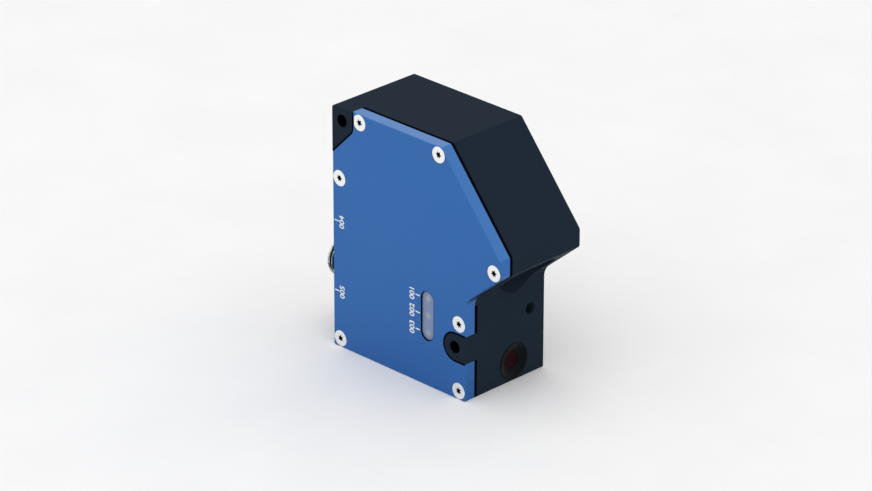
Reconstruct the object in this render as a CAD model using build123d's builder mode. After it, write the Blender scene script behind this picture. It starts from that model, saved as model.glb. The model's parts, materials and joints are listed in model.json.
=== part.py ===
from build123d import *
from math import cos, radians, sin, tan
import os

# Laser displacement sensor for machine building, millimetres and degrees.
# The beam leaves along +X near the foot and the receiver looks down at it from under the nose.
# The origin is the centre of the flat foot, +Z is up and the screwed cover faces -Y.

os.makedirs("parts", exist_ok=True)

# Outer form
width = 30.0
height = 70.7
foot_depth = 49.7
top_depth = 40.75
nose_overhang = 12.65
nose_face = 5.15
view_angle = 50.0
underside_radius = 5.0
nose_radius = 1.2
crest_radius = 0.8
back_top_radius = 1.0
edge_radius = 0.4
wall = 2.6
ledge = 1.5
# Pins, shanks and tapped holes are prisms with this many sides, and screw heads with more.
round_sides = 8
head_sides = 16

# Cover plate and the housing faces that come through it
cover_thickness = 3.6
cover_gap = 0.08
cover_edge_break = 0.2
corner_block_width = 7.65
corner_block_drop = 13.3
corner_block_radius = 2.5
tongue_radius = 3.9
tongue_height = 15.0

# Mounting holes, one in the corner block and one in the tongue
mount_hole_radius = 1.7
mount_inset = 3.75

# Cover screws and their bosses
screw_head_radius = 2.3
screw_radius = 1.25
screw_length = 8.0
screw_edge_land = 0.15
screw_sunk = 0.45
screw_sink_clearance = 0.05
screw_thread_clearance = 0.02
screw_head_land = 0.1
screw_neck_radius = 1.5
screw_hole_depth = 6.0
screw_pad = 3.3
screw_pad_from_nut = 1.3
screw_above_tongue = 7.0

# Seal between cover and housing
seal_width = 1.0
seal_height = 0.8
seal_land = 0.4
seal_clearance = 0.05
seal_outer_land = 0.8

# Status window and lamps
window_width = 4.85
window_length = 14.5
window_from_back = 35.7
window_height = 20.5
window_clearance = 0.05
window_sunk = 0.4
led_pitch = 5.0
led_width = 1.6
led_length = 2.0
led_height = 1.0

# Packages on the main board: distance from the back, height, and size as seen from the side
processor_place = (24.0, 46.0)
processor_size = (13.0, 13.0, 1.3)
memory_place = (24.0, 31.0)
memory_size = (8.0, 10.0, 1.0)
network_place = (21.5, 17.5)
network_size = (7.0, 7.0, 0.9)
magnetics_place = (25.5, 31.5)
magnetics_size = (9.0, 13.0, 4.6)
inductor_place = (26.0, 18.0)
inductor_size = (6.5, 6.5, 3.2)
package_edge_break = 0.1

# Emitter in the front face
optic_y = 3.6
beam_height = 5.75
emitter_recess_radius = 5.35
emitter_mouth_radius = 4.95
emitter_bore_radius = 3.15
emitter_mouth_depth = 1.0
emitter_lip = 0.2
emitter_fit = 0.03
emitter_window_thickness = 1.1

# Laser module
laser_block_height = 11.4
laser_block_side = 5.6
laser_radius = 3.0
laser_fit = 0.04
laser_length = 18.0
laser_bore_radius = 2.3
collimator_thickness = 1.6
collimator_bulge = 0.6
collimator_setback = 0.8
diode_flange_thickness = 1.2
diode_cap_radius = 1.8
diode_cap_length = 2.4
laser_board_width = 10.0
laser_board_height = 7.0
laser_board_drop = 1.4
board_thickness = 1.0

# Receiver under the nose
receiver_from_nose = 10.4
receiver_pocket_radius = 8.2
receiver_pocket_depth = 4.4
receiver_block_wall = 1.5
receiver_block_depth = 12.0
receiver_bore_radius = 6.6
receiver_window_thickness = 1.2
receiver_ring_thickness = 1.0
receiver_ring_width = 1.3
receiver_fit = 0.05
barrel_wall = 0.9
barrel_gap = 0.2
barrel_length = 15.0
lens_setback = 1.4
lens_edge = 2.0
lens_bulge = 0.9
hood_height = 15.0
hood_clearance = 1.3
hood_wall = 1.5
hood_front_wall = 1.0
hood_length = 4.0
sensor_board_thickness = 1.0
sensor_chip_length = 9.0
sensor_chip_width = 4.6
sensor_chip_thickness = 0.9

# Threaded hole in the front face
front_hole_radius = 1.65
front_hole_depth = 8.0
front_hole_height = 19.2
front_hole_from_side = 5.3
front_boss_wall = 2.5

# Main circuit board and what stands on it
main_board_thickness = 1.6
main_board_gap = 2.1
main_board_clearance = 0.3
connector_board_from_wall = 8.0
connector_board_margin = 7.0
connector_board_width = 15.0
link_header_thickness = 2.5
link_header_length = 16.0
flex_width = 5.0
flex_thickness = 0.3
flex_tab = 2.0
flex_clearance = 0.03
flex_socket_length = 7.0
flex_socket_width = 2.0
flex_socket_height = 1.8
flex_socket_floor = 0.3
laser_flex_rise = 2.4

# M12 plugs in the back wall
plug_y = 1.75
plug_a_height = 16.6
plug_b_height = 37.3
plug_thread_radius = 6.0
plug_a_thread_length = 11.0
plug_thread_break = 0.5
plug_collar_radius = 7.5
plug_collar_length = 2.6
plug_mouth_depth = 8.6
plug_bore_radius = 4.35
plug_neck_radius = 5.6
plug_neck_clearance = 0.05
plug_neck_past_nut = 0.6
plug_nut_radius = 8.0
plug_nut_length = 2.0
plug_nut_clearance = 0.03
plug_seal_thickness = 0.6
plug_seal_clearance = 0.1
plug_seal_inset = 0.3
insert_clearance = 0.04
pin_radius = 0.4
pin_circle_radius = 2.75
pin_count = 7
pin_reach = 6.2
key_width = 1.4
key_height = 0.7
key_length = 6.4
plug_b_collar_length = 5.0
plug_b_thread_radius = 5.5
plug_b_thread_depth = 4.6
plug_b_recess = 0.4
contact_radius = 0.5
contact_circle_radius = 2.4
contact_count = 4
contact_depth = 5.0

# Places that follow from the sizes
back = -foot_depth / 2
front = foot_depth / 2
nose = front + nose_overhang
crest = back + top_depth
cover_face = -width / 2
far_face = width / 2
mating_face = cover_face + cover_thickness
far_wall_face = far_face - wall
slope = tan(radians(view_angle))
nose_top = height - (nose - crest) * slope
nose_low = nose_top - nose_face
under_nose = nose_low - nose_overhang / slope
tongue_x = front - mount_inset
corner_hole = (back + mount_inset, height - mount_inset)
tongue_hole = (tongue_x, tongue_height)
board_face = mating_face + main_board_gap
board_back = board_face + main_board_thickness
window_x = back + window_from_back
emitter_window_front = emitter_mouth_depth + emitter_lip
emitter_recess_depth = emitter_window_front + emitter_window_thickness
laser_rear = emitter_recess_depth + laser_length + diode_flange_thickness
connector_board_x = back + wall + ledge + connector_board_from_wall

screw_face = cover_face + screw_sunk
screw_inset = screw_head_radius + screw_edge_land
screw_cone = screw_head_radius - screw_neck_radius
screw_head_height = screw_head_land + screw_cone
screw_mid_height = plug_b_height + plug_nut_radius + screw_pad_from_nut + screw_pad
screw_corner = screw_inset * tan(radians(view_angle / 2))
screw_places = [
    (back + corner_block_width + cover_gap + screw_inset, height - screw_inset),
    (crest - screw_corner, height - screw_inset),
    (back + screw_inset, screw_mid_height),
    (nose - screw_inset, nose_low + screw_corner),
    (front - screw_inset, tongue_height + screw_above_tongue),
    (back + screw_inset, screw_inset),
    (front - screw_inset, screw_inset),
]

# The receiver's axis crosses the underside of the nose here.
sight_x = nose - receiver_from_nose * sin(radians(view_angle))
sight_z = nose_low - receiver_from_nose * cos(radians(view_angle))


def across(y):
    """Sketch plane parallel to the cover, with sketch x along X and sketch y along Z."""
    return Plane.XZ.offset(-y)


def half_plane(plane):
    """Plane through a plane's normal: sketch x is the radius, sketch y the way along the normal."""
    return Plane(origin=plane.origin, x_dir=plane.x_dir, z_dir=-plane.y_dir)


def axis_of(plane):
    """The line that a turned piece spins about."""
    return Axis(plane.origin, plane.z_dir)


# Each of these planes has its normal along a bore: into the housing, or out of the back wall.
beam = Plane(origin=(front, optic_y, beam_height), x_dir=(0, 1, 0), z_dir=(-1, 0, 0))
sight = Plane(
    origin=(sight_x, optic_y, sight_z),
    x_dir=(0, 1, 0),
    z_dir=(-cos(radians(view_angle)), 0, sin(radians(view_angle))),
)
plug_a = Plane(origin=(back, plug_y, plug_a_height), x_dir=(0, 1, 0), z_dir=(-1, 0, 0))
plug_b = Plane(origin=(back, plug_y, plug_b_height), x_dir=(0, 1, 0), z_dir=(-1, 0, 0))


def side_outline():
    """The sensor's outline from the side, with its rounded corners."""
    radii = [edge_radius, edge_radius, underside_radius, nose_radius]
    radii += [nose_radius, crest_radius, back_top_radius]
    with BuildSketch() as outline:
        with BuildLine():
            FilletPolyline(*side_corners(), radius=radii, close=True)
        make_face()
    return outline.sketch


def side_corners():
    """Corners of the side outline, from the foot's back edge round by the nose."""
    foot = [(back, 0), (front, 0), (front, under_nose)]
    return foot + [(nose, nose_low), (nose, nose_top), (crest, height), (back, height)]


def corner_region(grow):
    """The corner block's outline carried past the housing's edges, grown by this much."""
    past = 2 * wall
    low = height - corner_block_drop
    with BuildSketch() as region:
        with BuildLine():
            FilletPolyline(
                (back - past, low - past),
                (back + corner_block_width, low + corner_block_width),
                (back + corner_block_width, height + past),
                (back - past, height + past),
                radius=[0, corner_block_radius, 0, 0],
                close=True,
            )
        make_face()
        if grow > 0:
            offset(amount=grow)
    return region.sketch


def tongue_region(grow):
    """The tongue round the lower mounting hole, carried past the front face."""
    reach = mount_inset + 2 * wall
    with BuildSketch() as region:
        with Locations(tongue_hole):
            Circle(tongue_radius + grow)
            Rectangle(reach, 2 * (tongue_radius + grow), align=(Align.MIN, Align.CENTER))
    return region.sketch


def cavity_region(grow):
    """The cavity's mouth, grown into the rim by this much, or shrunk where it is negative."""
    rim = seal_land + seal_width + seal_outer_land
    with BuildSketch() as region:
        with BuildLine():
            Polyline(*side_corners(), close=True)
        make_face()
        offset(amount=grow - wall, kind=Kind.INTERSECTION)
        with Locations(*screw_places):
            Rectangle(2 * (screw_pad - grow), 2 * (screw_pad - grow), mode=Mode.SUBTRACT)
        with Locations(tongue_hole):
            RegularPolygon(
                tongue_radius + rim - grow, round_sides, major_radius=False, mode=Mode.SUBTRACT
            )
        add(corner_region(rim - grow), mode=Mode.SUBTRACT)
    return region.sketch


def clipped(region):
    """A region cut off at the sensor's outline."""
    with BuildSketch() as inside:
        add(side_outline())
        add(region, mode=Mode.INTERSECT)
    return inside.sketch


# Housing: a milled tub with its floor on the far side, open towards the cover
outline_face = side_outline()
corner_face = clipped(corner_region(0))
tongue_face = clipped(tongue_region(0))
cavity_face = cavity_region(0)
groove_outer_face = cavity_region(seal_land + seal_width + seal_clearance)
groove_inner_face = cavity_region(seal_land - seal_clearance)

ledge_face = cavity_region(-ledge)
floor_wall = wall + ledge

with BuildPart() as housing:
    with BuildSketch(across(far_face)):
        add(outline_face)
    extrude(amount=far_face - mating_face)
    with BuildSketch(across(mating_face)):
        add(corner_face)
        add(tongue_face)
    extrude(amount=cover_thickness)
    with BuildSketch(across(mating_face)):
        add(cavity_face)
    extrude(amount=mating_face - board_back, mode=Mode.SUBTRACT)
    with BuildSketch(across(board_back)):
        add(ledge_face)
    extrude(amount=board_back - far_wall_face, mode=Mode.SUBTRACT)

    # Receiver block: a thick ring round the sight line, inside the underside of the nose
    with BuildSketch(sight.offset(wall / 2)):
        Circle(receiver_pocket_radius + receiver_block_wall)
    extrude(amount=receiver_block_depth - wall / 2)

    # Laser block: a plinth in the front corner of the foot round the whole laser barrel
    with BuildSketch(Plane.XY.offset(wall / 2)):
        with Locations((front - wall / 2, optic_y - laser_block_side)):
            Rectangle(
                laser_rear - wall / 2,
                far_wall_face + wall / 2 - optic_y + laser_block_side,
                align=(Align.MAX, Align.MIN),
            )
    extrude(amount=laser_block_height - wall / 2)

    # Boss behind the threaded hole in the front face
    front_hole = Plane(
        origin=(front, far_face - front_hole_from_side, front_hole_height),
        x_dir=(0, 1, 0),
        z_dir=(-1, 0, 0),
    )
    with BuildSketch(front_hole.offset(wall / 2)):
        boss_side = 2 * (front_hole_radius + front_boss_wall)
        Rectangle(boss_side, boss_side)
    extrude(amount=front_hole_depth)

    # Receiver pocket: it runs out through the rounded corner above the front face
    with BuildSketch(sight.offset(receiver_pocket_depth)):
        Circle(receiver_pocket_radius)
    extrude(amount=-(receiver_pocket_depth + nose_overhang), mode=Mode.SUBTRACT)
    with BuildSketch(sight):
        Circle(receiver_bore_radius)
    extrude(amount=receiver_block_depth + wall, mode=Mode.SUBTRACT)

    # Emitter recess and the laser barrel's bore behind it
    with BuildSketch(beam):
        Circle(emitter_recess_radius)
    extrude(amount=emitter_recess_depth, mode=Mode.SUBTRACT)
    with BuildSketch(beam):
        Circle(laser_radius + laser_fit)
    extrude(amount=laser_rear, mode=Mode.SUBTRACT)
    # Threaded hole in the front face
    with BuildSketch(front_hole):
        Circle(front_hole_radius)
    extrude(amount=front_hole_depth, mode=Mode.SUBTRACT)
    # Mounting holes right through the width
    with BuildSketch(across(cover_face)):
        with Locations(corner_hole, tongue_hole):
            Circle(mount_hole_radius)
    extrude(amount=-width, mode=Mode.SUBTRACT)
    # Tapped holes for the cover screws, and the seal's groove in the rim
    with BuildSketch(across(mating_face)):
        with Locations(*screw_places):
            RegularPolygon(screw_radius + screw_thread_clearance, round_sides)
    extrude(amount=-screw_hole_depth, mode=Mode.SUBTRACT)
    with BuildSketch(across(mating_face)):
        add(groove_outer_face)
        add(groove_inner_face, mode=Mode.SUBTRACT)
    extrude(amount=-seal_height, mode=Mode.SUBTRACT)

    # Plug holes in the back wall
    for plug in (plug_a, plug_b):
        with BuildSketch(plug):
            Circle(plug_neck_radius + plug_neck_clearance)
        extrude(amount=-floor_wall, mode=Mode.SUBTRACT)


def screw_head(grow, above):
    """A countersunk head with its top at the origin. Its sink is grown and starts above it."""
    with BuildPart() as head:
        with BuildSketch(Plane.XY.offset(above)):
            RegularPolygon(screw_head_radius + grow, head_sides, major_radius=False)
        extrude(amount=-(above + screw_head_height))
        chamfer(head.faces().sort_by(Axis.Z)[0].edges(), screw_cone)
    return head.part


# Cover: a flat plate that finishes flush with the corner block and the tongue
screw_sink = screw_head(screw_sink_clearance, screw_sunk)
with BuildPart() as cover_plate:
    with BuildSketch(across(mating_face)):
        add(outline_face)
        add(corner_region(cover_gap), mode=Mode.SUBTRACT)
        add(tongue_region(cover_gap), mode=Mode.SUBTRACT)
    extrude(amount=cover_thickness)
    chamfer(cover_plate.faces().sort_by(Axis.Y)[0].edges(), cover_edge_break)
    with Locations(across(screw_face)):
        with Locations(*screw_places):
            add(screw_sink, mode=Mode.SUBTRACT)
    with BuildSketch(across(cover_face)):
        with Locations(*screw_places):
            RegularPolygon(
                screw_neck_radius + screw_sink_clearance, head_sides, major_radius=False
            )
        with Locations((window_x, window_height)):
            SlotOverall(window_length, window_width, rotation=90)
    extrude(amount=-cover_thickness, mode=Mode.SUBTRACT)

with BuildPart() as cover_gasket:
    with BuildSketch(across(mating_face)):
        add(cavity_region(seal_land + seal_width))
        add(cavity_region(seal_land), mode=Mode.SUBTRACT)
    extrude(amount=-seal_height)

# One cover screw, its head's top at the origin and its shank down the Z axis
with BuildPart() as cover_screw:
    add(screw_head(0, 0))
    with BuildSketch(Plane.XY.offset(-screw_head_height)):
        RegularPolygon(screw_radius, round_sides)
    extrude(amount=screw_head_height - screw_length)

with BuildPart() as cover_screws:
    with Locations(across(screw_face)):
        with Locations(*screw_places):
            add(cover_screw.part)

with BuildPart() as led_window:
    with BuildSketch(across(mating_face)):
        with Locations((window_x, window_height)):
            SlotOverall(
                window_length - 2 * window_clearance,
                window_width - 2 * window_clearance,
                rotation=90,
            )
    extrude(amount=cover_thickness - window_sunk)

# Main board, laid on the ledge that runs round the cavity
with BuildPart() as main_board:
    with BuildSketch(across(board_back)):
        add(cavity_region(-main_board_clearance))
    extrude(amount=main_board_thickness)


def package(place, size, y, outwards):
    """A flat package on the board, standing on the face at y on the cover's side or the other."""
    from_back, up = place
    length, tall, thickness = size
    with BuildPart() as body:
        with BuildSketch(across(y)):
            with Locations((back + from_back, up)):
                Rectangle(length, tall)
        extrude(amount=thickness if outwards else -thickness)
        top = body.faces().sort_by(Axis.Y)[0 if outwards else -1]
        chamfer(top.edges(), package_edge_break)
    return body


processor = package(processor_place, processor_size, board_face, True)
memory_chip = package(memory_place, memory_size, board_face, True)
network_chip = package(network_place, network_size, board_face, True)
magnetics = package(magnetics_place, magnetics_size, board_back, False)
power_inductor = package(inductor_place, inductor_size, board_back, False)

# Status lamps on the board behind the window, the first at the top
status_leds = [
    package(
        (window_from_back, window_height + step * led_pitch),
        (led_width, led_length, led_height),
        board_face,
        True,
    )
    for step in (1, 0, -1)
]

# Laser module in the foot
with BuildPart() as emitter_ring:
    with BuildSketch(half_plane(beam)):
        with BuildLine():
            Polyline(
                (emitter_mouth_radius, 0),
                (emitter_recess_radius - emitter_fit, 0),
                (emitter_recess_radius - emitter_fit, emitter_window_front),
                (emitter_bore_radius, emitter_window_front),
                (emitter_bore_radius, emitter_mouth_depth),
                close=True,
            )
        make_face()
    revolve(axis=axis_of(beam))

with BuildPart() as emitter_window:
    with BuildSketch(beam.offset(emitter_window_front)):
        Circle(emitter_recess_radius - emitter_fit)
    extrude(amount=emitter_window_thickness)

with BuildPart() as laser_barrel:
    with BuildSketch(beam.offset(emitter_recess_depth)):
        Circle(laser_radius)
        Circle(laser_bore_radius, mode=Mode.SUBTRACT)
    extrude(amount=laser_length)


def lens(flat_side, radius, edge, bulge):
    """A lens with its flat side on this plane and its bulge along the plane's normal."""
    curve = (radius**2 + bulge**2) / (2 * bulge)
    with BuildPart() as glass:
        with BuildSketch(flat_side):
            Circle(radius)
        extrude(amount=edge + bulge)
        with Locations(flat_side.offset(edge + bulge - curve)):
            Sphere(curve, rotation=(90, 0, 0), mode=Mode.INTERSECT)
    return glass


# The collimator's bulge faces out of the barrel.
collimator_back = emitter_recess_depth + collimator_setback + collimator_bulge
collimator_back += collimator_thickness
collimator_lens = lens(
    Plane(beam.offset(collimator_back).origin, x_dir=beam.x_dir, z_dir=-beam.z_dir),
    laser_bore_radius - laser_fit,
    collimator_thickness,
    collimator_bulge,
)

barrel_rear = emitter_recess_depth + laser_length
with BuildPart() as laser_diode:
    with BuildSketch(beam.offset(barrel_rear)):
        Circle(laser_radius)
    extrude(amount=diode_flange_thickness)
    with BuildSketch(beam.offset(barrel_rear)):
        Circle(diode_cap_radius)
    extrude(amount=-diode_cap_length)

with BuildPart() as laser_board:
    with BuildSketch(beam.offset(laser_rear)):
        with Locations((0, laser_board_drop)):
            Rectangle(laser_board_width, laser_board_height, align=(Align.CENTER, Align.MAX))
    extrude(amount=board_thickness)

# Receiver optics behind the window under the nose
window_back = receiver_pocket_depth
window_front = window_back - receiver_window_thickness
with BuildPart() as receiver_window:
    with BuildSketch(sight.offset(window_front)):
        Circle(receiver_pocket_radius - receiver_fit)
    extrude(amount=receiver_window_thickness)

with BuildPart() as receiver_ring:
    with BuildSketch(sight.offset(window_front - receiver_ring_thickness)):
        Circle(receiver_pocket_radius - receiver_fit)
        Circle(receiver_pocket_radius - receiver_ring_width, mode=Mode.SUBTRACT)
    extrude(amount=receiver_ring_thickness)

barrel_outer = receiver_bore_radius - receiver_fit
barrel_inner = barrel_outer - barrel_wall
receiver_barrel_front = window_back + barrel_gap
receiver_barrel_rear = receiver_barrel_front + barrel_length
with BuildPart() as receiver_barrel:
    with BuildSketch(sight.offset(receiver_barrel_front)):
        Circle(barrel_outer)
        Circle(barrel_inner, mode=Mode.SUBTRACT)
    extrude(amount=barrel_length)

receiver_lens = lens(
    sight.offset(receiver_barrel_front + lens_setback),
    barrel_inner - receiver_fit,
    lens_edge,
    lens_bulge,
)

# The hood and its board are as wide as the room beside the far wall lets them be.
hood_width = 2 * (far_wall_face - optic_y - hood_clearance)
hood_back = receiver_barrel_rear + hood_front_wall + hood_length
with BuildPart() as sensor_hood:
    with BuildSketch(sight.offset(receiver_barrel_rear)):
        Rectangle(hood_width, hood_height)
        Circle(barrel_inner, mode=Mode.SUBTRACT)
    extrude(amount=hood_front_wall)
    with BuildSketch(sight.offset(receiver_barrel_rear + hood_front_wall)):
        Rectangle(hood_width, hood_height)
        Rectangle(
            hood_width - 2 * hood_wall, hood_height - 2 * hood_wall, mode=Mode.SUBTRACT
        )
    extrude(amount=hood_length)

with BuildPart() as sensor_board:
    with BuildSketch(sight.offset(hood_back)):
        Rectangle(hood_width, hood_height)
    extrude(amount=sensor_board_thickness)

with BuildPart() as image_sensor:
    with BuildSketch(sight.offset(hood_back)):
        Rectangle(sensor_chip_width, sensor_chip_length)
    extrude(amount=-sensor_chip_thickness)


def flex(plane, board_edge, rise):
    """A flat ribbon on the back of a small board that runs straight down into its socket."""
    far_end = board_back + flex_socket_floor - optic_y
    near_end = board_edge + flex_tab
    with BuildPart() as ribbon:
        with BuildSketch(plane):
            with Locations((far_end, rise)):
                Rectangle(near_end - far_end, flex_width, align=(Align.MIN, Align.CENTER))
        extrude(amount=flex_thickness)
    return ribbon


def flex_socket(plane, rise):
    """The socket on the main board that a ribbon's end stands in, square to the ribbon."""
    middle = plane.offset(flex_thickness / 2).from_local_coords((0, rise, 0))
    turn = plane.z_dir.get_angle(Vector(1, 0, 0))
    with BuildPart() as socket:
        with BuildSketch(across(board_back)):
            with Locations((middle.X, middle.Z)):
                Rectangle(flex_socket_width, flex_socket_length, rotation=turn)
        extrude(amount=-flex_socket_height)
        with BuildSketch(across(board_back + flex_socket_height)):
            with Locations((middle.X, middle.Z)):
                Rectangle(
                    flex_thickness + 2 * flex_clearance,
                    flex_width + 2 * flex_clearance,
                    rotation=turn,
                )
        extrude(amount=flex_socket_height - flex_socket_floor, mode=Mode.SUBTRACT)
    return socket


sensor_flex_plane = sight.offset(hood_back + sensor_board_thickness)
sensor_flex = flex(sensor_flex_plane, -hood_width / 2, 0)
sensor_socket = flex_socket(sensor_flex_plane, 0)
laser_flex_plane = beam.offset(laser_rear + board_thickness)
laser_flex = flex(laser_flex_plane, -laser_board_width / 2, -laser_flex_rise)
laser_socket = flex_socket(laser_flex_plane, -laser_flex_rise)

# Back wall: both plugs are soldered to one small board that links to the main board
neck_end = -(floor_wall + plug_nut_length + plug_neck_past_nut)
insert_radius = plug_bore_radius - insert_clearance
board_out = -(floor_wall + connector_board_from_wall)
plug_a_collar = plug_seal_thickness + plug_collar_length
plug_a_length = plug_a_collar + plug_a_thread_length
plug_a_face = plug_a_length - plug_mouth_depth
plug_b_length = plug_seal_thickness + plug_b_collar_length
plug_b_face = plug_b_length - plug_b_recess
contact_places = PolarLocations(
    contact_circle_radius, contact_count, start_angle=180 / contact_count
)

with BuildPart() as plug_a_shell:
    with BuildSketch(half_plane(plug_a)):
        with BuildLine():
            Polyline(
                (plug_bore_radius, neck_end),
                (plug_neck_radius, neck_end),
                (plug_neck_radius, plug_seal_thickness),
                (plug_collar_radius, plug_seal_thickness),
                (plug_collar_radius, plug_a_collar),
                (plug_thread_radius, plug_a_collar),
                (plug_thread_radius, plug_a_length - plug_thread_break),
                (plug_thread_radius - plug_thread_break, plug_a_length),
                (plug_bore_radius, plug_a_length),
                close=True,
            )
        make_face()
    revolve(axis=axis_of(plug_a))

with BuildPart() as plug_a_insert:
    with BuildSketch(plug_a.offset(neck_end)):
        Circle(insert_radius)
    extrude(amount=plug_a_face - neck_end)
    with BuildSketch(plug_a.offset(plug_a_face)):
        Circle(insert_radius)
        Circle(insert_radius - key_height, mode=Mode.SUBTRACT)
        Rectangle(
            key_width, 2 * insert_radius, align=(Align.CENTER, Align.MIN), mode=Mode.INTERSECT
        )
    extrude(amount=key_length)
    with BuildSketch(plug_a.offset(plug_a_face)):
        RegularPolygon(pin_radius, round_sides)
        with PolarLocations(pin_circle_radius, pin_count):
            RegularPolygon(pin_radius, round_sides)
    extrude(amount=neck_end - plug_a_face, mode=Mode.SUBTRACT)

with BuildPart() as plug_a_pins:
    with BuildSketch(plug_a.offset(board_out)):
        RegularPolygon(pin_radius, round_sides)
        with PolarLocations(pin_circle_radius, pin_count):
            RegularPolygon(pin_radius, round_sides)
    extrude(amount=plug_a_face + pin_reach - board_out)

with BuildPart() as plug_b_shell:
    with BuildSketch(half_plane(plug_b)):
        with BuildLine():
            Polyline(
                (plug_bore_radius, neck_end),
                (plug_neck_radius, neck_end),
                (plug_neck_radius, plug_seal_thickness),
                (plug_collar_radius, plug_seal_thickness),
                (plug_collar_radius, plug_b_length),
                (plug_b_thread_radius, plug_b_length),
                (plug_b_thread_radius, plug_b_length - plug_b_thread_depth),
                (plug_bore_radius, plug_b_length - plug_b_thread_depth),
                close=True,
            )
        make_face()
    revolve(axis=axis_of(plug_b))

with BuildPart() as plug_b_insert:
    with BuildSketch(plug_b.offset(neck_end)):
        Circle(insert_radius)
    extrude(amount=plug_b_face - neck_end)
    with BuildSketch(plug_b.offset(plug_b_face)):
        with Locations((0, insert_radius)):
            Rectangle(key_width, 2 * key_height)
    extrude(amount=-key_length, mode=Mode.SUBTRACT)
    with BuildSketch(plug_b.offset(plug_b_face)):
        with contact_places:
            RegularPolygon(contact_radius, round_sides)
    extrude(amount=neck_end - plug_b_face, mode=Mode.SUBTRACT)

with BuildPart() as plug_b_contacts:
    with BuildSketch(plug_b.offset(board_out)):
        with contact_places:
            RegularPolygon(contact_radius, round_sides)
    extrude(amount=plug_b_face - contact_depth - board_out)


def plug_seal(plane):
    """The flat ring between a plug's collar and the back wall."""
    with BuildPart() as ring:
        with BuildSketch(plane):
            Circle(plug_collar_radius - plug_seal_inset)
            Circle(plug_neck_radius + plug_seal_clearance, mode=Mode.SUBTRACT)
        extrude(amount=plug_seal_thickness)
    return ring


def plug_nut(plane):
    """The thin hexagon nut that pulls a plug's collar against the back wall."""
    with BuildPart() as nut:
        with BuildSketch(plane.offset(-floor_wall)):
            RegularPolygon(plug_nut_radius, 6)
            Circle(plug_neck_radius + plug_nut_clearance, mode=Mode.SUBTRACT)
        extrude(amount=-plug_nut_length)
    return nut


plug_a_seal = plug_seal(plug_a)
plug_b_seal = plug_seal(plug_b)
plug_a_nut = plug_nut(plug_a)
plug_b_nut = plug_nut(plug_b)

connector_board_low = plug_a_height - connector_board_margin
connector_board_height = plug_b_height + connector_board_margin - connector_board_low
with BuildPart() as connector_board:
    with BuildSketch(plug_a.offset(board_out)):
        with Locations((0, connector_board_margin)):
            Rectangle(
                connector_board_width, connector_board_height, align=(Align.CENTER, Align.MAX)
            )
    extrude(amount=-main_board_thickness)

with BuildPart() as link_header:
    with BuildSketch(across(board_back)):
        with Locations(
            (
                connector_board_x + main_board_thickness,
                (plug_a_height + plug_b_height) / 2,
            )
        ):
            Rectangle(
                link_header_thickness, link_header_length, align=(Align.MIN, Align.CENTER)
            )
    extrude(amount=-link_header_thickness)

pieces = {
    "housing": housing,
    "cover_plate": cover_plate,
    "cover_gasket": cover_gasket,
    "cover_screws": cover_screws,
    "led_window": led_window,
    "main_board": main_board,
    "processor": processor,
    "memory_chip": memory_chip,
    "network_chip": network_chip,
    "magnetics": magnetics,
    "power_inductor": power_inductor,
    "emitter_ring": emitter_ring,
    "emitter_window": emitter_window,
    "laser_barrel": laser_barrel,
    "collimator_lens": collimator_lens,
    "laser_diode": laser_diode,
    "laser_board": laser_board,
    "laser_flex": laser_flex,
    "laser_socket": laser_socket,
    "receiver_window": receiver_window,
    "receiver_ring": receiver_ring,
    "receiver_barrel": receiver_barrel,
    "receiver_lens": receiver_lens,
    "sensor_hood": sensor_hood,
    "sensor_board": sensor_board,
    "image_sensor": image_sensor,
    "sensor_flex": sensor_flex,
    "sensor_socket": sensor_socket,
    "plug_a_shell": plug_a_shell,
    "plug_a_insert": plug_a_insert,
    "plug_a_pins": plug_a_pins,
    "plug_a_seal": plug_a_seal,
    "plug_a_nut": plug_a_nut,
    "plug_b_shell": plug_b_shell,
    "plug_b_insert": plug_b_insert,
    "plug_b_contacts": plug_b_contacts,
    "plug_b_seal": plug_b_seal,
    "plug_b_nut": plug_b_nut,
    "connector_board": connector_board,
    "link_header": link_header,
}
for number, led in enumerate(status_leds, start=1):
    pieces[f"status_led_{number}"] = led

for name, piece in pieces.items():
    piece.part.label = name
    export_step(piece.part, f"parts/{name}.step")
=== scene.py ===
"""Looks of a laser displacement sensor: housing, cover, screws, plugs, optics and printed marks.

Lengths in this file are millimetres and become metres where a mesh or a material is made.
"""

import json
import math

import bmesh
import bpy
import numpy as np
from mathutils import Matrix, Vector
from mathutils.bvhtree import BVHTree


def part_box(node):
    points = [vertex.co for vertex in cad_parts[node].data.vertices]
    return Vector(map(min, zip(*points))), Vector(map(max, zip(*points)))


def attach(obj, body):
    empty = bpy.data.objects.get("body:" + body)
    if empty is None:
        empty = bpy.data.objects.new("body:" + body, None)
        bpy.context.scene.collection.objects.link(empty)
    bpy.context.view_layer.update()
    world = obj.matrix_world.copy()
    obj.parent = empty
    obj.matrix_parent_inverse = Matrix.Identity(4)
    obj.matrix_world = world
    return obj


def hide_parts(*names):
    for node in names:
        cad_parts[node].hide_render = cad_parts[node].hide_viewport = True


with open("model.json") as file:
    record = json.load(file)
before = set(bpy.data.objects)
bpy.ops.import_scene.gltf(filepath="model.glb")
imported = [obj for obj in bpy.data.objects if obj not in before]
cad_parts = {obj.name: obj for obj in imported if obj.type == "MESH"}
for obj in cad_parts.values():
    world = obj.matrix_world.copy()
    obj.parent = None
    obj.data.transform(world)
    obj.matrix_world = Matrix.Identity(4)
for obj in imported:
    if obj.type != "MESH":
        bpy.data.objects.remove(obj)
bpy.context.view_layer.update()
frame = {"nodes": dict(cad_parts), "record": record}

MM = 0.001
ROOT = "root"
TURN = 2 * math.pi

# Points closer than the first are one point, and closer than the second lie on one plane
MERGE = 0.0005
TOUCH = 0.01

# Thread form: how steeply the flanks run, and how much of the crest is flat
FLANK = 1.35
CREST = 0.12

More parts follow.
